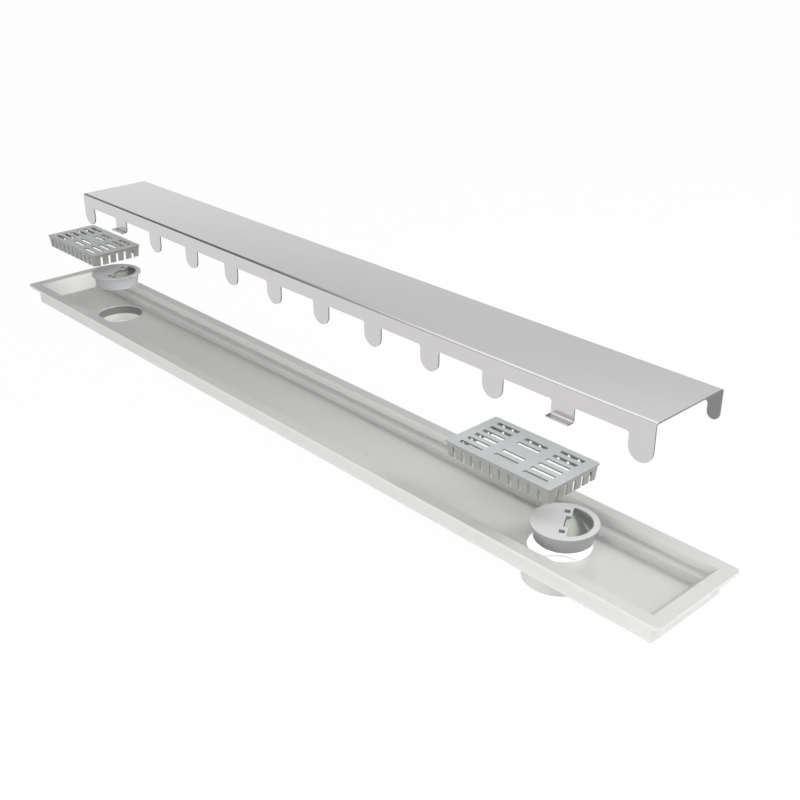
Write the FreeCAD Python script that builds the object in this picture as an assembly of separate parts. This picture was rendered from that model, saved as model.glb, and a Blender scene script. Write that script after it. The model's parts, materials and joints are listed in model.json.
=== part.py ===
import FreeCAD, Part
import math
import os

# Linear shower drain, drawn apart as the photograph shows it: the cover, the two strainers
# and the two outlet valves stand above the places where they sit.
# X runs along the channel, Y across it, Z up. The origin is under the middle of the channel,
# at the level of the near outlet's lower end. All sizes are in millimetres.

# Channel, one plastic moulding
channel_length = 900.0
channel_width = 100.0
flange_width = 10.5
end_flange_width = 12.0
flange_thickness = 2.4
flange_corner_radius = 4.5
wall = 2.4
ledge_depth = 7.5
ledge_width = 9.5
floor_depth = 15.0
floor_fall = 1.2
end_slope_run = 13.0
skirt_depth = 21.0
skirt_corner_radius = 2.0
trough_floor_fillet = 1.2
ledge_fillet = 1.6
ledge_lip_radius = 1.0
flange_edge_radius = 0.5

# Overlap of two bodies that belong to one moulding
weld = 0.2

# Outlets, each a tapered valve seat whose lower edge stops a waste pipe in the socket below it
outlet_inset = 124.0
outlet_pad_length = 130.0
seat_depth = 9.0
pipe_diameter = 50.0
pipe_clearance = 0.3
socket_wall = 3.2
near_socket_depth = 19.6
far_socket_depth = 9.6
outlet_lip_radius = 0.8

# Valve, a tapered cup under a wider round lid, with a flap hinged under the lid
lid_radius = 26.9
lid_thickness = 2.0
lid_top_fillet = 0.6
lid_foot_fillet = 0.3
cup_radius = 24.7
cup_foot_radius = 22.9
cup_wall = 1.2
valve_height = 14.0
valve_seat_clearance = 0.1
valve_turn = 31.0
mouth_radius = 21.8
mouth_chord = 4.2
mouth_notch_half = 7.8
mouth_corner_radius = 1.0
window_size = 4.6
window_offset = 14.6
window_corner_radius = 0.4

# Flap and its snap-in hinge
hinge_drop = 2.2
rod_radius = 1.2
rod_clearance = 0.08
lug_thickness = 1.4
lug_half_width = 2.3
lug_below_rod = 1.9
snap_slot_width = 1.9
lug_clearance = 0.4
flap_radius = 22.3
flap_thickness = 1.2
flap_seal_gap = 0.15
flap_heel = 0.6
flap_open_angle = 35.0
flap_stop_height = 0.5
flap_stop_clearance = 0.05

# Strainer, a slotted plate on comb walls
strainer_length = 106.0
strainer_clearance = 0.4
strainer_height = 13.0
strainer_plate = 1.2
strainer_wall = 1.2
strainer_corner_radius = 4.0
plate_corner_radius = 2.0
plate_overhang = 0.2
plate_edge_radius = 0.6
comb_draft = 1.0
comb_slit_width = 3.0
comb_slit_pitch = 9.6
comb_band = 2.2
slot_length = 22.5
slot_width = 3.9
slot_corner_radius = 0.8
slot_row_pitch = 8.6
slot_column_pitch = 32.5
slot_rows = 6

# Cover, one folded stainless sheet
cover_length = 726.0
cover_sheet = 1.2
cover_side_clearance = 1.5
cover_height = 24.0
cover_bend_radius = 2.6
cover_skirt_depth = 12.5
tongue_positions = 12
tongue_width = 19.6
tongue_tip_clearance = 0.3
rear_tongue_width = 10.0
rear_tongue_depth = 24.5
tongue_root_radius = 2.0
foot_length = 6.0
foot_bend_radius = 1.0

# How far the photograph shows each piece along X and up from its seat; all zero seats them
cover_apart = (60.0, 113.5)
far_strainer_apart = (-43.0, 65.0)
near_strainer_apart = (-43.0, 50.0)
far_valve_apart = (2.0, 49.3)
near_valve_apart = (3.0, 19.5)

# Places that follow from the sizes above
opening_length = channel_length - 2 * end_flange_width
opening_width = channel_width - 2 * flange_width
trough_width = opening_width - 2 * ledge_width
end_slope = end_slope_run / floor_depth
outlet_x = channel_length / 2 - outlet_inset
valve_taper = (cup_radius - cup_foot_radius) / (valve_height - lid_thickness)
socket_radius = pipe_diameter / 2 + pipe_clearance
spigot_radius = socket_radius + socket_wall
flange_top = floor_depth + seat_depth + near_socket_depth
floor_top = flange_top - floor_depth
seat_low = floor_top - seat_depth
skirt_low = flange_top - skirt_depth
ledge_top = flange_top - ledge_depth
cover_width = opening_width - 2 * cover_side_clearance
tongue_depth = cover_height + ledge_depth - tongue_tip_clearance
clip_positions = (1, tongue_positions - 2)
strainer_width = trough_width - 2 * strainer_clearance

over = 1.0


def rounded_rectangle(length, width, radius, z):
    """Closed wire of a rectangle about the Z axis with round corners, at height z."""
    x = length / 2
    y = width / 2
    r = min(radius, 0.49 * length, 0.49 * width)
    k = r * (1 - math.sqrt(0.5))
    edges = []
    corners = [(x, y), (-x, y), (-x, -y), (x, -y)]
    starts = [(0, -1), (1, 0), (0, 1), (-1, 0)]
    ends = [(-1, 0), (0, -1), (1, 0), (0, 1)]
    points = []
    for (cx, cy), (sx, sy), (ex, ey) in zip(corners, starts, ends):
        start = FreeCAD.Vector(cx + sx * r, cy + sy * r, z)
        middle = FreeCAD.Vector(cx - math.copysign(k, cx), cy - math.copysign(k, cy), z)
        end = FreeCAD.Vector(cx + ex * r, cy + ey * r, z)
        points.append((start, middle, end))
    for i, (start, middle, end) in enumerate(points):
        edges.append(Part.Arc(start, middle, end).toShape())
        edges.append(Part.LineSegment(end, points[(i + 1) % 4][0]).toShape())
    return Part.Wire(edges)


def rounded_block(length, width, radius, z_low, z_high):
    face = Part.Face(rounded_rectangle(length, width, radius, z_low))
    return face.extrude(FreeCAD.Vector(0, 0, z_high - z_low))


def block(x_1, x_2, y_1, y_2, z_1, z_2):
    """Box between two limits along each axis, given in either order."""
    corner = FreeCAD.Vector(min(x_1, x_2), min(y_1, y_2), min(z_1, z_2))
    return Part.makeBox(abs(x_2 - x_1), abs(y_2 - y_1), abs(z_2 - z_1), corner)


def cone(x, r_low, r_high, z_low, z_high):
    if abs(r_low - r_high) < 1e-9:
        return Part.makeCylinder(r_low, z_high - z_low, FreeCAD.Vector(x, 0, z_low))
    return Part.makeCone(r_low, r_high, z_high - z_low, FreeCAD.Vector(x, 0, z_low))


def fuse_all(shapes):
    return shapes[0].multiFuse(shapes[1:]).removeSplitter()


def edges_at(shape, z):
    """Edges that lie wholly at height z."""
    return [e for e in shape.Edges if abs(e.BoundBox.ZMin - z) < 1e-4 and abs(e.BoundBox.ZMax - z) < 1e-4]


# Channel

def sloped_block(length, width, z_low, z_high):
    """Block whose ends slope inward below the flange's top, where it has this length."""
    low = length / 2 - (flange_top - z_low) * end_slope
    high = length / 2 - (flange_top - z_high) * end_slope
    corners = [FreeCAD.Vector(x, -width / 2, z) for x, z in
               ((-low, z_low), (low, z_low), (high, z_high), (-high, z_high))]
    return Part.Face(Part.makePolygon(corners + corners[:1])).extrude(FreeCAD.Vector(0, width, 0))


def rounded_face(points, rounded):
    """Face of a flat polygon; rounded maps a corner's number to its radius."""
    edges = []
    count = len(points)
    leave = []
    arrive = []
    for i, point in enumerate(points):
        radius = rounded.get(i, 0)
        before = (points[i - 1] - point).normalize()
        after = (points[(i + 1) % count] - point).normalize()
        if radius == 0:
            arrive.append(point)
            leave.append(point)
            continue
        half = before.getAngle(after) / 2
        reach = radius / math.tan(half)
        inward = (before + after).normalize()
        start = point + before * reach
        end = point + after * reach
        middle = point + inward * (radius / math.sin(half) - radius)
        arrive.append(start)
        leave.append(end)
        edges.append(Part.Arc(start, middle, end).toShape())
    for i in range(count):
        edges.append(Part.LineSegment(leave[i], arrive[(i + 1) % count]).toShape())
    return Part.Face(Part.Wire(Part.__sortEdges__(edges)))


def trough_void():
    """The channel's stepped hollow with sloping ends, from above the flange to the floor."""
    high = flange_top + over
    half = opening_width / 2
    low = trough_width / 2
    side = [(half, high, 0), (half, ledge_top, ledge_fillet), (low, ledge_top, ledge_lip_radius),
            (low, floor_top, trough_floor_fillet)]
    corners = side + [(-y, z, radius) for y, z, radius in reversed(side)]
    points = [FreeCAD.Vector(-channel_length / 2, y, z) for y, z, radius in corners]
    rounded = {i: radius for i, (y, z, radius) in enumerate(corners) if radius > 0}
    section = rounded_face(points, rounded).extrude(FreeCAD.Vector(channel_length, 0, 0))
    return section.common(sloped_block(opening_length, channel_width, floor_top - over, high))


def floor_crown():
    """Low ridge that makes the floor fall from mid-length to the two outlets."""
    reach = outlet_x - outlet_pad_length / 2
    low = floor_top - wall / 2
    crest = floor_top + floor_fall
    points = [(-reach, low), (reach, low), (reach, floor_top), (0, crest), (-reach, floor_top)]
    corners = [FreeCAD.Vector(x, -trough_width / 2 - wall / 2, z) for x, z in points]
    face = Part.Face(Part.makePolygon(corners + corners[:1]))
    return face.extrude(FreeCAD.Vector(0, trough_width + wall, 0))


def turned_about_z(corners, rounded):
    """Solid of revolution of an (r, z) polygon with some corners rounded."""
    face = rounded_face([FreeCAD.Vector(r, 0, z) for r, z in corners], rounded)
    return face.revolve(FreeCAD.Vector(), FreeCAD.Vector(0, 0, 1), 360)


def outlet_void(x, socket_depth):
    """Tapered valve seat over a pipe socket, turned about one vertical axis."""
    top = cup_radius + valve_seat_clearance
    foot = top - valve_taper * seat_depth
    socket_end = seat_low - socket_depth - over
    above = floor_top + over
    corners = [(0, socket_end), (socket_radius, socket_end), (socket_radius, seat_low), (foot, seat_low),
               (top, floor_top), (top + 2 * outlet_lip_radius, floor_top),
               (top + 2 * outlet_lip_radius, above), (0, above)]
    return turned_about_z(corners, {4: outlet_lip_radius}).translated(FreeCAD.Vector(x, 0, 0))


def channel():
    flange_low = flange_top - flange_thickness
    skirt_length = opening_length + 2 * wall
    skirt_width = opening_width + 2 * wall
    flange = rounded_block(channel_length, channel_width, flange_corner_radius, flange_low, flange_top)
    body = rounded_block(skirt_length, skirt_width, skirt_corner_radius, skirt_low, flange_low + weld)
    under = rounded_block(skirt_length - 2 * wall, skirt_width - 2 * wall, skirt_corner_radius / 2,
                          skirt_low - over, flange_low)
    shell_length = opening_length + 2 * wall * math.hypot(1, end_slope)
    upper = sloped_block(shell_length, skirt_width, ledge_top - wall, flange_low + weld).common(body)
    lower = sloped_block(shell_length, trough_width + 2 * wall, floor_top - wall, ledge_top)
    solids = [flange, body.cut(under), upper, lower]
    outlets = ((-outlet_x, far_socket_depth), (outlet_x, near_socket_depth))
    for x, socket_depth in outlets:
        solids.append(cone(x, spigot_radius, spigot_radius, seat_low - socket_depth, floor_top - wall / 2))
    shape = fuse_all(solids).cut(trough_void())
    shape = shape.fuse(floor_crown()).removeSplitter()
    for x, socket_depth in outlets:
        shape = shape.cut(outlet_void(x, socket_depth))
    shape = shape.removeSplitter()
    return shape.makeFillet(flange_edge_radius, edges_at(shape, flange_top))


# Valve and flap, about the valve's own axis, with the lid's top at z = 0 and the hinge along Y

def valve_cup():
    corners = [(0, 0), (lid_radius, 0), (lid_radius, -lid_thickness), (cup_radius, -lid_thickness),
               (cup_foot_radius, -valve_height), (cup_foot_radius - cup_wall, -valve_height),
               (cup_radius - cup_wall, -lid_thickness), (0, -lid_thickness)]
    cup = turned_about_z(corners, {1: lid_top_fillet, 2: lid_foot_fillet})

    mouth = cone(0, mouth_radius, mouth_radius, -lid_thickness - over, over)
    mouth = mouth.cut(block(-mouth_radius - over, mouth_chord, -mouth_radius - over, mouth_radius + over,
                            -valve_height, valve_height))
    upright = [e for e in mouth.Edges if abs(e.BoundBox.ZLength - mouth.BoundBox.ZLength) < 1e-6
               and abs(e.BoundBox.Center.x - mouth_chord) < 1e-4]
    mouth = mouth.makeFillet(mouth_corner_radius, upright)
    notch = rounded_block(2 * mouth_chord, 2 * mouth_notch_half, mouth_corner_radius,
                          -lid_thickness - over, over)
    cup = cup.cut(mouth).cut(notch.translated(FreeCAD.Vector(mouth_chord, 0, 0)))

    axis_z = -lid_thickness - hinge_drop
    lugs = []
    for side in (-1, 1):
        window = rounded_block(window_size, window_size, window_corner_radius, -lid_thickness - over, over)
        cup = cup.cut(window.translated(FreeCAD.Vector(0, side * window_offset, 0)))
        for step in (-1, 1):
            y = side * window_offset + step * (window_size / 2 + lug_thickness / 2)
            lug = block(-lug_half_width, lug_half_width, y - lug_thickness / 2, y + lug_thickness / 2,
                        axis_z - lug_below_rod, weld - lid_thickness)
            hole = Part.makeCylinder(rod_radius + rod_clearance, 2 * lug_thickness,
                                     FreeCAD.Vector(0, y - lug_thickness, axis_z), FreeCAD.Vector(0, 1, 0))
            slot = block(-snap_slot_width / 2, snap_slot_width / 2, y - lug_thickness, y + lug_thickness,
                         axis_z - lug_below_rod - over, axis_z)
            lugs.append(lug.cut(hole).cut(slot))
    return fuse_all([cup] + lugs)


def flap():
    """Flap as it lies closed under the valve's top."""
    top = -lid_thickness - flap_seal_gap
    axis_z = -lid_thickness - hinge_drop
    plate = cone(0, flap_radius, flap_radius, top - flap_thickness, top)
    plate = plate.cut(block(-flap_radius - over, -flap_heel, -flap_radius - over, flap_radius + over,
                            top - flap_thickness - over, top + over))
    near = window_offset - window_size / 2 - lug_thickness - lug_clearance
    far = window_offset + window_size / 2 + lug_thickness + lug_clearance
    for side in (-1, 1):
        plate = plate.cut(block(-flap_radius, lug_half_width + lug_clearance, side * near, side * far,
                                top - flap_thickness - over, top + over))
    reach = far + lug_clearance
    rod_start = FreeCAD.Vector(0, -reach, axis_z)
    rod = Part.makeCylinder(rod_radius, 2 * reach, rod_start, FreeCAD.Vector(0, 1, 0))
    web_half = near - lug_clearance
    web = block(-flap_heel, rod_radius, -web_half, web_half, axis_z, top - flap_thickness / 2)
    angle = math.radians(flap_open_angle)
    tail_rise = hinge_drop - flap_stop_clearance - flap_stop_height * math.cos(angle)
    tail_reach = tail_rise / math.sin(angle)
    tail = block(-tail_reach, 0, -web_half, web_half, axis_z + flap_stop_height - flap_thickness,
                 axis_z + flap_stop_height)
    return fuse_all([plate, rod, web, tail])


def opened(shape):
    axis_point = FreeCAD.Vector(0, 0, -lid_thickness - hinge_drop)
    turned = shape.copy()
    turned.rotate(axis_point, FreeCAD.Vector(0, 1, 0), flap_open_angle)
    return turned


def placed_in_outlet(shape, side, apart):
    turned = shape.copy()
    turned.rotate(FreeCAD.Vector(0, 0, 0), FreeCAD.Vector(0, 0, 1), valve_turn)
    seat = FreeCAD.Vector(side * outlet_x + apart[0], 0, floor_top + lid_thickness + apart[1])
    return turned.translated(seat)


# Strainer, with the top face at z = 0

def comb_positions(length):
    """Centres of the slits along one comb wall."""
    usable = length - 2 * (strainer_corner_radius + comb_slit_width / 2)
    count = int(usable // comb_slit_pitch) + 1
    return [(i - (count - 1) / 2) * comb_slit_pitch for i in range(count)]


def strainer():
    plate = rounded_block(strainer_length, strainer_width, plate_corner_radius, -strainer_plate, 0)
    plate = plate.makeFillet(plate_edge_radius, edges_at(plate, 0))
    length = strainer_length - 2 * plate_overhang
    width = strainer_width - 2 * plate_overhang
    radius = strainer_corner_radius
    top = rounded_rectangle(length, width, radius, weld - strainer_plate)
    foot = rounded_rectangle(length - 2 * comb_draft, width - 2 * comb_draft, radius, -strainer_height)
    walls = Part.makeLoft([foot, top], True, True)
    inner_top = rounded_rectangle(length - 2 * strainer_wall, width - 2 * strainer_wall,
                                  radius - strainer_wall, weld - strainer_plate)
    inner_foot = rounded_rectangle(length - 2 * (comb_draft + strainer_wall),
                                   width - 2 * (comb_draft + strainer_wall),
                                   radius - strainer_wall, -strainer_height)
    hollow = Part.makeLoft([inner_foot, inner_top], True, True)
    walls = walls.cut(hollow)

    half_slit = comb_slit_width / 2
    inward = 2 * strainer_wall + comb_draft
    slit_top = -strainer_plate - comb_band
    slit_foot = -strainer_height - over
    cutters = []
    for side in (-1, 1):
        for x in comb_positions(length):
            cutters.append(block(x - half_slit, x + half_slit, side * (width / 2 - inward),
                                 side * (width / 2 + over), slit_foot, slit_top))
        for y in comb_positions(width):
            cutters.append(block(side * (length / 2 - inward), side * (length / 2 + over),
                                 y - half_slit, y + half_slit, slit_foot, slit_top))
    walls = walls.cut(Part.makeCompound(cutters))
    shape = fuse_all([plate, walls])

    slot = rounded_block(slot_length, slot_width, slot_corner_radius, -strainer_plate - weld, over)
    slots = []
    for column in (-1, 1):
        for i in range(slot_rows):
            y = (i - (slot_rows - 1) / 2) * slot_row_pitch
            slots.append(slot.translated(FreeCAD.Vector(column * slot_column_pitch, y, 0)))
    for row in range(-(slot_rows // 2 - 1), slot_rows // 2):
        if row != 0:
            slots.append(slot.translated(FreeCAD.Vector(0, row * slot_row_pitch, 0)))
    return shape.cut(Part.makeCompound(slots))


def placed_strainer(shape, side, apart):
    seat = FreeCAD.Vector(side * outlet_x + apart[0], 0, floor_top + strainer_height + apart[1])
    return shape.translated(seat)


# Cover, with the top face at z = 0

def cover_section():
    """Closed face of the folded sheet across Y, with legs as long as the tongues."""
    half = cover_width / 2
    t = cover_sheet
    outer = cover_bend_radius
    inner = outer - t
    k = math.sqrt(0.5)
    low = -tongue_depth

    def at(y, z):
        return FreeCAD.Vector(0, y, z)

    def bend(side, radius, z_centre):
        y_centre = side * (half - outer)
        return Part.Arc(at(y_centre + side * radius, z_centre),
                        at(y_centre + side * radius * k, z_centre + radius * k),
                        at(y_centre, z_centre + radius)).toShape()

    def line(a, b):
        return Part.LineSegment(a, b).toShape()

    centre = -outer
    edges = [line(at(-half, low), at(-half, centre)), bend(-1, outer, centre),
             line(at(-half + outer, 0), at(half - outer, 0)), bend(1, outer, centre),
             line(at(half, centre), at(half, low)), line(at(half, low), at(half - t, low)),
             line(at(half - t, low), at(half - t, centre)), bend(1, inner, centre),
             line(at(half - outer, -t), at(-half + outer, -t)), bend(-1, inner, centre),
             line(at(-half + t, centre), at(-half + t, low)), line(at(-half + t, low), at(-half, low))]
    return Part.Face(Part.Wire(Part.__sortEdges__(edges)))


def place_along(i, width):
    """Left edge of the tongue or clip of this width at position i along one side."""
    return -cover_length / 2 + i * (cover_length - width) / (tongue_positions - 1)


def side_outline(width, depth):
    """Side view of one half in XZ: the skirt, its round-ended tongues of this size and the square clips."""
    half = cover_length / 2
    skirt = -cover_skirt_depth
    root = tongue_root_radius
    k = math.sqrt(0.5)
    last = tongue_positions - 1

    def at(x, z):
        return FreeCAD.Vector(x, 0, z)

    edges = [Part.LineSegment(at(half, 0), at(-half, 0)).toShape()]
    pen = at(-half, 0)

    def line_to(x, z):
        nonlocal pen
        edges.append(Part.LineSegment(pen, at(x, z)).toShape())
        pen = at(x, z)

    def arc_to(middle, end):
        nonlocal pen
        edges.append(Part.Arc(pen, at(*middle), at(*end)).toShape())
        pen = at(*end)

    for i in range(tongue_positions):
        across = tongue_width if i in clip_positions else width
        left = place_along(i, across)
        right = left + across
        if i > 0:
            line_to(left - root, skirt)
            arc_to((left - root + root * k, skirt - root + root * k), (left, skirt - root))
        if i in clip_positions:
            low = -cover_height + cover_sheet + foot_bend_radius
            line_to(left, low)
            line_to(right, low)
        else:
            radius = across / 2
            line_to(left, radius - depth)
            arc_to((left + radius, -depth), (right, radius - depth))
        if i < last:
            line_to(right, skirt - root)
            arc_to((right + root - root * k, skirt - root + root * k), (right + root, skirt))
    line_to(half, 0)
    return Part.Face(Part.Wire(edges))


def clip_foot():
    """Foot bent outward at the end of a clip on the -Y side, as long in X as the clip."""
    t = cover_sheet
    r = foot_bend_radius
    face_y = -cover_width / 2
    z = -cover_height + t + r
    k = math.sqrt(0.5)
    centre_y = face_y - r
    tip_y = face_y - foot_length

    def at(y, h):
        return FreeCAD.Vector(0, y, h)

    edges = [Part.Arc(at(face_y, z), at(centre_y + r * k, z - r * k), at(centre_y, z - r)).toShape(),
             Part.LineSegment(at(centre_y, z - r), at(tip_y, z - r)).toShape(),
             Part.LineSegment(at(tip_y, z - r), at(tip_y, z - r - t)).toShape(),
             Part.LineSegment(at(tip_y, z - r - t), at(centre_y, z - r - t)).toShape(),
             Part.Arc(at(centre_y, z - r - t), at(centre_y + (r + t) * k, z - (r + t) * k),
                      at(face_y + t, z)).toShape(),
             Part.LineSegment(at(face_y + t, z), at(face_y, z)).toShape()]
    return Part.Face(Part.Wire(edges)).extrude(FreeCAD.Vector(tongue_width, 0, 0))


def cover():
    folded = cover_section().extrude(FreeCAD.Vector(cover_length, 0, 0))
    folded = folded.translated(FreeCAD.Vector(-cover_length / 2, 0, 0))
    front = side_outline(tongue_width, tongue_depth).extrude(FreeCAD.Vector(0, -cover_width, 0))
    rear = side_outline(rear_tongue_width, rear_tongue_depth).extrude(FreeCAD.Vector(0, cover_width, 0))
    pieces = [folded.common(front), folded.common(rear)]
    for i in clip_positions:
        foot = clip_foot().translated(FreeCAD.Vector(place_along(i, tongue_width), 0, 0))
        pieces.append(foot)
        pieces.append(foot.mirror(FreeCAD.Vector(0, 0, 0), FreeCAD.Vector(0, 1, 0)))
    return fuse_all(pieces)


def save(name, shape):
    if len(shape.Solids) != 1 or not shape.isValid():
        raise ValueError(name + " is not one valid solid")
    shape.Solids[0].exportStep("parts/" + name + ".step")


os.makedirs("parts", exist_ok=True)
save("channel", channel())
seated_cover = FreeCAD.Vector(cover_apart[0], 0, flange_top + cover_height + cover_apart[1])
save("cover", cover().translated(seated_cover))
plate_and_comb = strainer()
cup = valve_cup()
open_flap = opened(flap())
for end, side, strainer_apart, valve_apart in (("far", -1, far_strainer_apart, far_valve_apart),
                                               ("near", 1, near_strainer_apart, near_valve_apart)):
    save("strainer_" + end, placed_strainer(plate_and_comb, side, strainer_apart))
    save("valve_cup_" + end, placed_in_outlet(cup, side, valve_apart))
    save("valve_flap_" + end, placed_in_outlet(open_flap, side, valve_apart))
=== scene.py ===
import bpy
import json
import math
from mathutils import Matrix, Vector


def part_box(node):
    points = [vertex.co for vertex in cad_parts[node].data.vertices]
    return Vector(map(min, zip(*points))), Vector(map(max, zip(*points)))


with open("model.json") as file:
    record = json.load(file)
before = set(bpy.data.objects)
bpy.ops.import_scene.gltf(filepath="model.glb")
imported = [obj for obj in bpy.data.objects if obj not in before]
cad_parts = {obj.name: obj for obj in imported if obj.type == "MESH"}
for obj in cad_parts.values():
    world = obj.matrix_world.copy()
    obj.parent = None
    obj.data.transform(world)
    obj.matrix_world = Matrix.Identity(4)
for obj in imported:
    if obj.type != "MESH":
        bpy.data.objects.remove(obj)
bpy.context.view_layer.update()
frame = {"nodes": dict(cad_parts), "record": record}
print("frame loaded,", len(frame["nodes"]), "nodes")


# small helpers for building shader trees

def addNode(tree, kind, x, y, **settings):
    node = tree.nodes.new(kind)
    node.location = (x, y)
    for name, value in settings.items():
        if name in node.inputs:
            node.inputs[name].default_value = value
        else:
            setattr(node, name, value)
    return node


# a socket takes either another node's output or a plain value
def feed(tree, value, socket):
    if isinstance(value, bpy.types.NodeSocket):
        tree.links.new(value, socket)
    else:
        socket.default_value = value


def addMath(tree, operation, x, y, *values):
    node = addNode(tree, "ShaderNodeMath", x, y, operation=operation)
    for socket, value in zip(node.inputs, values):
        feed(tree, value, socket)
    return node.outputs[0]


def addMix(tree, kind, x, y, factor, first, second):
    node = addNode(tree, "ShaderNodeMix", x, y, data_type=kind)
    feed(tree, factor, node.inputs["Factor"])
    feed(tree, first, node.inputs["A"])
    feed(tree, second, node.inputs["B"])
    return node.outputs["Result"]


# runs softly from one value to another while its input runs from low to high
def addEasedRange(tree, x, y, value, low, high, fromValue, toValue):
    node = addNode(tree, "ShaderNodeMapRange", x, y, interpolation_type="SMOOTHSTEP")
    feed(tree, value, node.inputs["Value"])
    feed(tree, low, node.inputs["From Min"])
    feed(tree, high, node.inputs["From Max"])
    feed(tree, fromValue, node.inputs["To Min"])
    feed(tree, toValue, node.inputs["To Max"])
    return node.outputs[0]


def splitCoordinate(tree, label, x, y):
    place = addNode(tree, "ShaderNodeTexCoord", x, y)
    split = addNode(tree, "ShaderNodeSeparateXYZ", x + 200, y)
    tree.links.new(place.outputs[label], split.inputs[0])
    return split.outputs


def newGroup(name, inputs, outputs):
    group = bpy.data.node_groups.new(name, "ShaderNodeTree")
    for label, kind, value in inputs:
        socket = group.interface.new_socket(name=label, in_out="INPUT", socket_type=kind)
        socket.default_value = value
    for label, kind in outputs:
        group.interface.new_socket(name=label, in_out="OUTPUT", socket_type=kind)
    return group, group.nodes.new("NodeGroupInput"), group.nodes.new("NodeGroupOutput")


def placeGroup(tree, group, x, y, values):
    node = tree.nodes.new("ShaderNodeGroup")
    node.node_tree = group
    node.location = (x, y)
    for name, value in values.items():
        node.inputs[name].default_value = value
    return node


def blankMaterial(name):
    material = bpy.data.materials.new(name)
    material.use_nodes = True
    tree = material.node_tree
    tree.nodes.clear()
    return material, tree, addNode(tree, "ShaderNodeOutputMaterial", 600, 0)


def principledMaterial(name):
    material, tree, output = blankMaterial(name)
    shader = addNode(tree, "ShaderNodeBsdfPrincipled", 300, 0)
    tree.links.new(shader.outputs["BSDF"], output.inputs["Surface"])
    return material, tree, shader


# effects over the whole surface

surfaceOutputs = [
    ("Colour", "NodeSocketColor"),
    ("Roughness", "NodeSocketFloat"),
    ("Height", "NodeSocketFloat"),
]


# makes a colour a little lighter and darker as a noise runs about its middle
def shiftTone(group, colour, noise, amount):
    centred = addMath(group, "SUBTRACT", -440, 200, noise, 0.5)
    scaled = addMath(group, "MULTIPLY_ADD", -260, 200, centred, amount, 1.0)
    tone = addNode(group, "ShaderNodeVectorMath", -70, 200, operation="SCALE")
    group.links.new(colour, tone.inputs[0])
    group.links.new(scaled, tone.inputs["Scale"])
    return tone.outputs[0]


mouldTexture = {
    "drift": {"Scale": 14.0, "Detail": 3.0, "Roughness": 0.55},
    "flow": {"Scale": 45.0, "Detail": 4.0, "Roughness": 0.6},
    "grain": {"Detail": 2.0, "Roughness": 0.5},
    "glossGain": 0.12,
    "bumpDistance": 0.0002,
}


# moulded plastic: slow drift of tone and gloss, fine grain of the mould's surface
def makeMouldedPlastic():
    group, inlet, outlet = newGroup("mouldedPlastic", [
        ("Colour", "NodeSocketColor", (0.8, 0.8, 0.8, 1)),
        ("Drift", "NodeSocketFloat", 0.03),
        ("Roughness", "NodeSocketFloat", 0.4),
        ("Grain size", "NodeSocketFloat", 900.0),
    ], surfaceOutputs)
    link = group.links.new
    place = addNode(group, "ShaderNodeTexCoord", -900, 0)
    drift = addNode(group, "ShaderNodeTexNoise", -650, 200, **mouldTexture["drift"])
    flow = addNode(group, "ShaderNodeTexNoise", -650, -40, **mouldTexture["flow"])
    grain = addNode(group, "ShaderNodeTexNoise", -650, -280, **mouldTexture["grain"])
    for noise in (drift, flow, grain):
        link(place.outputs["Object"], noise.inputs["Vector"])
    link(inlet.outputs["Grain size"], grain.inputs["Scale"])
    tone = shiftTone(group, inlet.outputs["Colour"], drift.outputs["Fac"],
                     inlet.outputs["Drift"])
    gloss = addMath(group, "MULTIPLY_ADD", -260, -40, flow.outputs["Fac"],
                    mouldTexture["glossGain"], inlet.outputs["Roughness"])
    link(tone, outlet.inputs["Colour"])
    link(gloss, outlet.inputs["Roughness"])
    link(grain.outputs["Fac"], outlet.inputs["Height"])
    return group


sheetTexture = {
    "linesScale": (6.0, 900.0, 900.0),
    "bandsScale": (2.0, 30.0, 30.0),
    "lines": {"Scale": 1.0, "Detail": 5.0, "Roughness": 0.65},
    "bands": {"Scale": 1.0, "Detail": 3.0, "Roughness": 0.5},
    "glossGain": 0.03,
    "bumpDistance": 0.0001,
}


# rolled and brushed sheet: long fine lines along X, with soft bands in the gloss
def makeBrushedSheet():
    group, inlet, outlet = newGroup("brushedSheet", [
        ("Colour", "NodeSocketColor", (0.7, 0.7, 0.7, 1)),
        ("Contrast", "NodeSocketFloat", 0.1),
        ("Roughness", "NodeSocketFloat", 0.25),
    ], surfaceOutputs)
    link = group.links.new
    place = addNode(group, "ShaderNodeTexCoord", -1100, 0)
    stretchLines = addNode(group, "ShaderNodeMapping", -900, 120,
                           Scale=sheetTexture["linesScale"])
    stretchBands = addNode(group, "ShaderNodeMapping", -900, -220,
                           Scale=sheetTexture["bandsScale"])
    lines = addNode(group, "ShaderNodeTexNoise", -680, 120, **sheetTexture["lines"])
    bands = addNode(group, "ShaderNodeTexNoise", -680, -220, **sheetTexture["bands"])
    for stretch, noise in ((stretchLines, lines), (stretchBands, bands)):
        link(place.outputs["Object"], stretch.inputs["Vector"])
        link(stretch.outputs[0], noise.inputs["Vector"])
    tone = shiftTone(group, inlet.outputs["Colour"], lines.outputs["Fac"],
                     inlet.outputs["Contrast"])
    both = addMath(group, "ADD", -440, -120, lines.outputs["Fac"], bands.outputs["Fac"])
    gloss = addMath(group, "MULTIPLY_ADD", -260, -120, both, sheetTexture["glossGain"],
                    inlet.outputs["Roughness"])
    link(tone, outlet.inputs["Colour"])
    link(gloss, outlet.inputs["Roughness"])
    link(lines.outputs["Fac"], outlet.inputs["Height"])
    return group


# masks, 1 where they apply and 0 elsewhere

maskOutputs = [("Mask", "NodeSocketFloat")]


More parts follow.
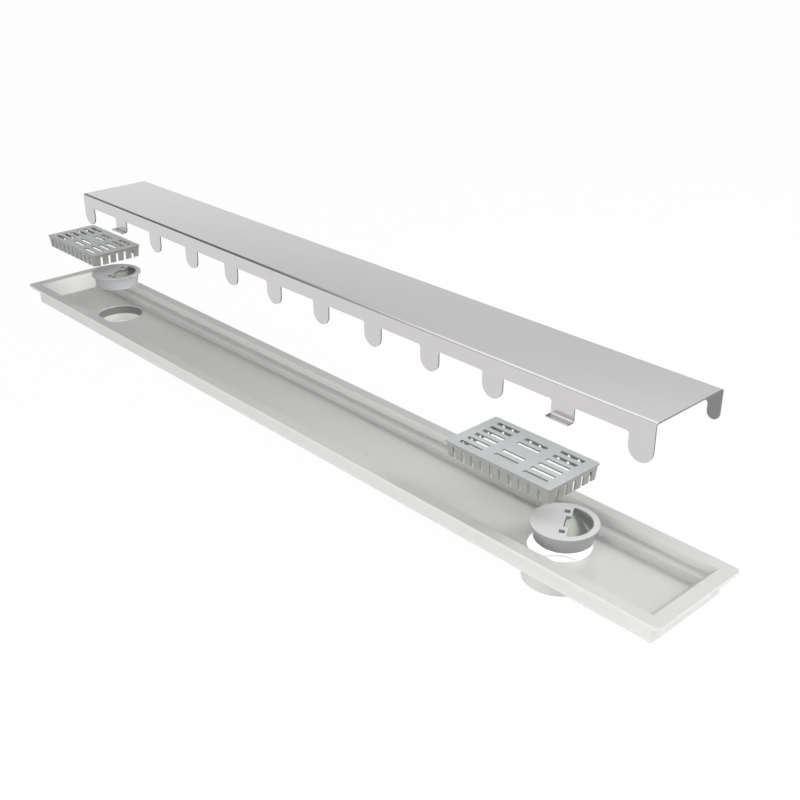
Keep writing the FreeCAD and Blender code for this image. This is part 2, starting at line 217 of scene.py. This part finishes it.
# faces that look up, not the sides of a moulding; the lighter colour laid on them is painted
# light, and the sides' darker colour is painted shade
def makePaintedTopLightMask():
    group, inlet, outlet = newGroup("upperFaces", [
        ("From", "NodeSocketFloat", 0.6),
        ("To", "NodeSocketFloat", 0.95),
    ], maskOutputs)
    normal = splitCoordinate(group, "Normal", -600, 0)
    mask = addEasedRange(group, -200, 0, normal["Z"], inlet.outputs["From"],
                         inlet.outputs["To"], 0.0, 1.0)
    group.links.new(mask, outlet.inputs["Mask"])
    return group


# painted shade on the wall of one outlet's seat, where little light falls
def makeOutletPaintedShadeMask():
    group, inlet, outlet = newGroup("insideOutlet", [
        ("Centre", "NodeSocketVector", (0, 0, 0)),
        ("Radius", "NodeSocketFloat", 0.02),
        ("Above", "NodeSocketFloat", 0.02),
        ("Below", "NodeSocketFloat", 0.03),
    ], maskOutputs)
    link = group.links.new
    place = addNode(group, "ShaderNodeTexCoord", -900, 0)
    offset = addNode(group, "ShaderNodeVectorMath", -700, 0, operation="SUBTRACT")
    link(place.outputs["Object"], offset.inputs[0])
    link(inlet.outputs["Centre"], offset.inputs[1])
    level = addNode(group, "ShaderNodeVectorMath", -520, 0, operation="MULTIPLY")
    level.inputs[1].default_value = (1, 1, 0)
    link(offset.outputs[0], level.inputs[0])
    away = addNode(group, "ShaderNodeVectorMath", -340, 0, operation="LENGTH")
    link(level.outputs[0], away.inputs[0])
    height = splitCoordinate(group, "Object", -720, -300)["Z"]
    within = addMath(group, "LESS_THAN", -160, 0, away.outputs["Value"],
                     inlet.outputs["Radius"])
    low = addMath(group, "LESS_THAN", -160, -200, height, inlet.outputs["Below"])
    high = addMath(group, "GREATER_THAN", -160, -380, height, inlet.outputs["Above"])
    belowRim = addMath(group, "MULTIPLY", 20, 0, within, low)
    onWall = addMath(group, "MULTIPLY", 200, 0, belowRim, high)
    link(onWall, outlet.inputs["Mask"])
    return group


# faces that look into the folded sheet, which take a dark colour as painted shade
def makeInsideOfFold():
    group, inlet, outlet = newGroup("insideOfFold", [
        ("Half width", "NodeSocketFloat", 0.04),
        ("Below", "NodeSocketFloat", 0.2),
    ], maskOutputs)
    place = splitCoordinate(group, "Object", -800, 0)
    across = addMath(group, "ABSOLUTE", -400, 100, place["Y"])
    within = addMath(group, "LESS_THAN", -200, 100, across, inlet.outputs["Half width"])
    under = addMath(group, "LESS_THAN", -200, -100, place["Z"], inlet.outputs["Below"])
    inside = addMath(group, "MULTIPLY", 0, 0, within, under)
    group.links.new(inside, outlet.inputs["Mask"])
    return group


# sheared faces at the two ends of the sheet, which take the same dark colour as painted shade
def makeCutEnds():
    group, inlet, outlet = newGroup("cutEnds", [("From", "NodeSocketFloat", 0.7)],
                                    maskOutputs)
    normal = splitCoordinate(group, "Normal", -600, 0)
    endwise = addMath(group, "ABSOLUTE", -200, 0, normal["X"])
    mask = addMath(group, "GREATER_THAN", 0, 0, endwise, inlet.outputs["From"])
    group.links.new(mask, outlet.inputs["Mask"])
    return group


mouldedPlastic = makeMouldedPlastic()
brushedSheet = makeBrushedSheet()
upperFaces = makePaintedTopLightMask()
insideOutlet = makeOutletPaintedShadeMask()
insideOfFold = makeInsideOfFold()
cutEnds = makeCutEnds()
print("effects made")


# the materials

def finishWith(tree, shader, effect, bumpStrength, bumpDistance):
    link = tree.links.new
    link(effect.outputs["Colour"], shader.inputs["Base Color"])
    link(effect.outputs["Roughness"], shader.inputs["Roughness"])
    bump = addNode(tree, "ShaderNodeBump", 80, -260, Strength=bumpStrength,
                   Distance=bumpDistance)
    link(effect.outputs["Height"], bump.inputs["Height"])
    link(bump.outputs["Normal"], shader.inputs["Normal"])


def tintWhere(tree, mask, effect, look, secondColour):
    tint = addMix(tree, "RGBA", -280, 200, mask.outputs["Mask"], (*look["colour"], 1),
                  (*secondColour, 1))
    tree.links.new(tint, effect.inputs["Colour"])


def plasticMaterial(name, look):
    material, tree, shader = principledMaterial(name)
    effect = placeGroup(tree, mouldedPlastic, -60, 0, {
        "Colour": (*look["colour"], 1), "Drift": look["drift"],
        "Roughness": look["roughness"], "Grain size": look["grainSize"]})
    finishWith(tree, shader, effect, look["grainStrength"], mouldTexture["bumpDistance"])
    # painted shade: a dark colour laid on the far outlet's seat wall
    if "outlet" in look:
        wall = placeGroup(tree, insideOutlet, -500, 200, {
            "Centre": look["outlet"], "Radius": look["outletRadius"],
            "Above": look["outletAbove"], "Below": look["outletBelow"]})
        tintWhere(tree, wall, effect, look, look["outletShade"])
    # painted light on the upward faces, lighter than the look's own colour, which stands as
    # painted shade on the sides
    if "upper" in look:
        facing = placeGroup(tree, upperFaces, -500, 200, {})
        tintWhere(tree, facing, effect, look, look["upper"])
    shader.inputs["IOR"].default_value = look["ior"]
    shader.inputs["Specular IOR Level"].default_value = look["specular"]
    return material


def steelMaterial(name, look):
    material, tree, shader = principledMaterial(name)
    effect = placeGroup(tree, brushedSheet, -260, 0, {
        "Colour": (*look["colour"], 1), "Contrast": look["contrast"],
        "Roughness": look["roughness"]})
    finishWith(tree, shader, effect, look["lineStrength"], sheetTexture["bumpDistance"])
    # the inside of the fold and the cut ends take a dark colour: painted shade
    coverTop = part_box("cover")[1][2]
    inside = placeGroup(tree, insideOfFold, -260, 300, {
        "Half width": look["insideHalf"], "Below": coverTop - look["skin"]})
    cut = placeGroup(tree, cutEnds, -260, 500, {"From": look["cutFrom"]})
    dark = addMath(tree, "MAXIMUM", -60, 400, inside.outputs["Mask"], cut.outputs["Mask"])
    blend = addMix(tree, "RGBA", 60, 200, dark, effect.outputs["Colour"],
                   (*look["inside"], 1))
    tree.links.new(blend, shader.inputs["Base Color"])
    shader.inputs["Metallic"].default_value = 1.0
    return material


channelLook = {
    "colour": (0.78, 0.775, 0.765),
    "drift": 0.05,
    "roughness": 0.24,
    "ior": 1.5,
    "specular": 0.5,
    "grainSize": 1400.0,
    "grainStrength": 0.12,
    "outlet": (-0.326, 0.0, 0.0),  # the far outlet, whose wall is in shade
    "outletRadius": 0.029,
    "outletAbove": 0.0197,
    "outletBelow": 0.028,
    # painted shade colour for the far outlet's seat wall
    "outletShade": (0.22, 0.22, 0.215),
}
strainerLook = {
    # darkened side colour as painted shade; the upward faces take a lighter colour as painted
    # light
    "colour": (0.31, 0.315, 0.3),
    "upper": (0.7, 0.725, 0.735),
    "drift": 0.05,
    "roughness": 0.26,
    "ior": 1.5,
    "specular": 0.5,
    "grainSize": 1800.0,
    "grainStrength": 0.1,
}
valveLook = {
    # darkened side colour as painted shade; the upward faces take a lighter colour as painted
    # light
    "colour": (0.38, 0.375, 0.39),
    "upper": (0.84, 0.84, 0.835),
    "drift": 0.04,
    "roughness": 0.38,
    "ior": 1.5,
    "specular": 0.45,
    "grainSize": 1800.0,
    "grainStrength": 0.1,
}
flapLook = {
    "colour": (0.62, 0.66, 0.6),
    "drift": 0.05,
    "roughness": 0.36,
    "ior": 1.5,
    "specular": 0.45,
    "grainSize": 1800.0,
    "grainStrength": 0.1,
}
coverLook = {
    "colour": (0.63, 0.616, 0.62),
    # the dark colour of the inside of the fold and the cut ends: painted shade
    "inside": (0.24, 0.24, 0.245),
    "insideHalf": 0.0374,
    "skin": 0.0006,
    "cutFrom": 0.7,
    "contrast": 0.025,
    "roughness": 0.17,
    "lineStrength": 0.003,
}

finishes = {
    "channel_plastic": plasticMaterial("channelPlastic", channelLook),
    "strainer_plastic": plasticMaterial("strainerPlastic", strainerLook),
    "valve_plastic": plasticMaterial("valvePlastic", valveLook),
    "flap_plastic": plasticMaterial("flapPlastic", flapLook),
    "cover_steel": steelMaterial("coverSteel", coverLook),
}
print("materials made")

for part in frame["record"]["subparts"]:
    node = frame["nodes"][part["node"]]
    for slot in node.material_slots:
        slot.material = finishes[part["material_slot"]]
    print(part["node"], "takes", part["material_slot"])


# plain studio: pale floor, white surroundings that darken overhead, soft lamps

# heights and sides are parts of a direction of length 1, so height 1 is straight up
studio = {
    "floorSize": 12,
    "floorDrop": 0.0002,
    "paper": (0.93, 0.93, 0.93),
    "white": 1.005,
    "floorShade": 0.025,  # how much of the shadow the white floor shows
    "ambient": 0.8,
    "overheadAmbient": 0.08,
    "ambientHeight": (0.36, 0.56),
    "shown": ((0.0, 1.0), (0.28, 1.0), (0.39, 0.61), (0.45, 0.88),
              (0.54, 1.38), (0.84, 1.35), (0.94, 1.1), (1.0, 1.05)),
    "curveTop": 2.0,  # a curve ends at 1, so it holds each strength as a share of this
    "patchShown": 0.12,
    "patchSide": (-0.76, -0.64),
    "patchHeight": (0.36, 0.5),
}


# surfaces are lit by an even white that fades overhead; polished ones show a bright
# cloth overhead with one dark patch at its left side
def makeWorld():
    world = bpy.data.worlds.new("studio")
    bpy.context.scene.world = world
    world.use_nodes = True
    tree = world.node_tree
    tree.nodes.clear()
    link = tree.links.new
    output = addNode(tree, "ShaderNodeOutputWorld", 900, 0)
    direction = splitCoordinate(tree, "Generated", -900, 0)
    ambient = addEasedRange(tree, -400, -300, direction["Z"], *studio["ambientHeight"],
                            studio["ambient"], studio["overheadAmbient"])
    shown = addNode(tree, "ShaderNodeFloatCurve", -400, 200)
    curve = shown.mapping.curves[0]
    shares = [(height, strength / studio["curveTop"]) for height, strength in studio["shown"]]
    curve.points[0].location = shares[0]
    curve.points[1].location = shares[-1]
    for height, share in shares[1:-1]:
        curve.points.new(height, share)
    shown.mapping.update()
    link(direction["Z"], shown.inputs["Value"])
    overhead = addMath(tree, "MULTIPLY", -160, 200, shown.outputs[0], studio["curveTop"])
    side = addEasedRange(tree, -400, 0, direction["X"], *studio["patchSide"], 1.0, 0.0)
    high = addEasedRange(tree, -400, -150, direction["Z"], *studio["patchHeight"], 0.0, 1.0)
    patch = addMath(tree, "MULTIPLY", -160, -80, side, high)
    cloth = addMix(tree, "FLOAT", 60, 100, patch, overhead, studio["patchShown"])
    rays = addNode(tree, "ShaderNodeLightPath", 60, 400)
    strength = addMix(tree, "FLOAT", 280, 0, rays.outputs["Is Diffuse Ray"], cloth, ambient)
    around = addNode(tree, "ShaderNodeBackground", 600, 0, Color=(1, 1, 1, 1))
    link(strength, around.inputs["Strength"])
    link(around.outputs[0], output.inputs["Surface"])


# the floor is white to the camera and in polished faces, and paper to all other light
def makeFloor():
    bpy.ops.mesh.primitive_plane_add(size=studio["floorSize"],
                                     location=(0, 0, -studio["floorDrop"]))
    floor = bpy.context.object
    floor.name = "floor"
    material, tree, output = blankMaterial("floorPaper")
    link = tree.links.new
    paper = addNode(tree, "ShaderNodeBsdfDiffuse", 0, -100, Color=(*studio["paper"], 1))
    white = addNode(tree, "ShaderNodeEmission", 0, 100, Strength=studio["white"])
    shade = addNode(tree, "ShaderNodeMixShader", 200, 0)
    shade.inputs[0].default_value = studio["floorShade"]
    link(white.outputs[0], shade.inputs[1])
    link(paper.outputs[0], shade.inputs[2])
    rays = addNode(tree, "ShaderNodeLightPath", -200, 400)
    direct = addMath(tree, "MAXIMUM", 0, 300, rays.outputs["Is Camera Ray"],
                     rays.outputs["Is Glossy Ray"])
    visible = addMath(tree, "MAXIMUM", 200, 300, direct, rays.outputs["Is Transmission Ray"])
    mix = addNode(tree, "ShaderNodeMixShader", 400, 0)
    link(visible, mix.inputs[0])
    link(paper.outputs[0], mix.inputs[1])
    link(shade.outputs[0], mix.inputs[2])
    link(mix.outputs[0], output.inputs["Surface"])
    floor.data.materials.append(material)


# the lamps light the surfaces and do not show in polished ones
def addLamp(name, lamp):
    data = bpy.data.lights.new(name, "AREA")
    data.shape = lamp["shape"]
    data.size, data.size_y = lamp["size"]
    data.energy = lamp["power"]
    data.spread = math.radians(lamp.get("spread", 180))
    holder = bpy.data.objects.new(name, data)
    bpy.context.collection.objects.link(holder)
    holder.location = lamp["place"]
    aim = Vector(lamp["target"]) - Vector(lamp["place"])
    holder.rotation_euler = aim.to_track_quat("-Z", "Y").to_euler()
    holder.visible_camera = False
    holder.visible_glossy = False


lamps = {
    "rightKey": {"shape": "RECTANGLE", "place": (1.3, -0.55, 0.5), "target": (0.2, 0.0, 0.05),
                 "size": (0.6, 0.5), "power": 1.0},
    "farEnd": {"shape": "RECTANGLE", "place": (0.12, 0.0, 0.1), "target": (-0.44, 0.0, 0.046),
               "size": (0.05, 0.02), "power": 0.006, "spread": 12},
    "top": {"shape": "RECTANGLE", "place": (0.5, -0.45, 0.85), "target": (0.35, 0.0, 0.0),
            "size": (0.7, 0.4), "power": 2.7},
    "lowFront": {"shape": "RECTANGLE", "place": (0.25, -0.8, 0.12), "target": (0.25, 0.0, 0.03),
                 "size": (1.8, 0.15), "power": 2.9},
    "backKey": {"shape": "RECTANGLE", "place": (0.95, 0.7, 0.75), "target": (0.35, 0.0, 0.03),
                "size": (0.6, 0.5), "power": 7.0},
    "underFar": {"shape": "DISK", "place": (-0.326, 0.0, 0.009), "target": (-0.326, 0.0, 0.1),
                 "size": (0.044, 0.044), "power": 0.0042},
    "underNear": {"shape": "DISK", "place": (0.326, 0.0, 0.001), "target": (0.326, 0.0, 0.1),
                  "size": (0.044, 0.044), "power": 0.02},
}
makeWorld()
makeFloor()
for name, lamp in lamps.items():
    addLamp(name, lamp)
print("studio lit")


# the photograph's viewpoint
viewpoint = {
    "place": (0.7607, -0.5692, 0.4959),
    "turn": (63.93, 0.104, 47.09),
    "lens": 49.56,
    "sensor": 36,
    "nearest": 0.01,
}
cameraData = bpy.data.cameras.new("camera")
cameraData.sensor_width = viewpoint["sensor"]
cameraData.lens = viewpoint["lens"]
cameraData.clip_start = viewpoint["nearest"]
camera = bpy.data.objects.new("camera", cameraData)
bpy.context.collection.objects.link(camera)
camera.location = viewpoint["place"]
camera.rotation_euler = [math.radians(angle) for angle in viewpoint["turn"]]
bpy.context.scene.camera = camera
bpy.context.scene.view_settings.view_transform = "Standard"
print("camera set")
